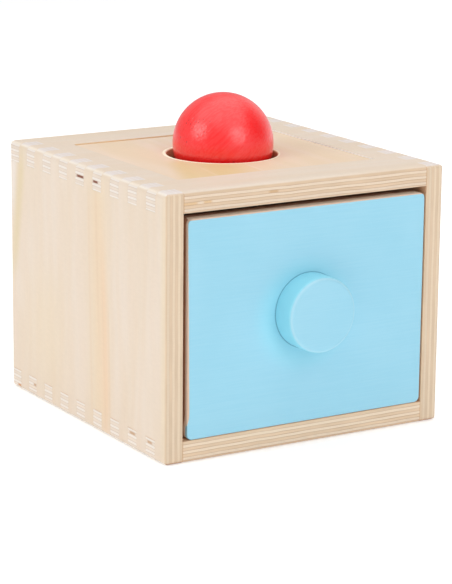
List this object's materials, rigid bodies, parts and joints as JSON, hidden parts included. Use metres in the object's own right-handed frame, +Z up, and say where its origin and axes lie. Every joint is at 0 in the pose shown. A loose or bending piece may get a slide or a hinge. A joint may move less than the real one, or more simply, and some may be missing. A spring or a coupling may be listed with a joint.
{
  "type": "object permanence box",
  "caption": "Finger-jointed plywood toy box with a lift-out holed lid, a loose wooden ball that drops through the hole, and a painted pull-out drawer with a round knob.",
  "frame": {"origin": "on the floor under the middle of the box, the centre of the bottom board's underside", "axes": "+X to the right as the drawer is faced, +Y from the drawer towards the back, +Z up"},
  "size_m": [0.14, 0.1537, 0.1425],
  "materials": {
    "plywood": "sanded birch plywood, thin matt lacquer",
    "lid_plywood": "sanded birch plywood, thin matt lacquer",
    "tray_plywood": "sanded thin plywood",
    "blue_paint": "pale blue satin paint over wood, grain faintly showing",
    "red_stain": "bright red satin lacquer over turned wood",
    "screw_steel": "zinc-plated"
  },
  "bodies": {
    "box": {"left_side": "plywood", "right_side": "plywood", "top_frame": "plywood", "bottom_board": "plywood", "back_panel": "plywood"},
    "lid": {"lid": "lid_plywood"},
    "ball": {"ball": "red_stain"},
    "drawer": {"drawer_front": "blue_paint", "drawer_left_side": "tray_plywood", "drawer_right_side": "tray_plywood", "drawer_back": "tray_plywood", "drawer_floor": "tray_plywood", "knob": "blue_paint", "knob_screw": "screw_steel"}
  },
  "joints": [
    {"name": "drawer_slide", "type": "slide", "parent": "box", "child": "drawer", "axis": [0, -1, 0], "range_m": [0, 0.11]},
    {"name": "lid_lift", "type": "slide", "parent": "box", "child": "lid", "axis": [0, 0, 1], "range_m": [0, 0.05]},
    {"name": "ball_drop", "type": "slide", "parent": "box", "child": "ball", "axis": [0, 0, 1], "range_m": [-0.0797, 0.06]}
  ]
}
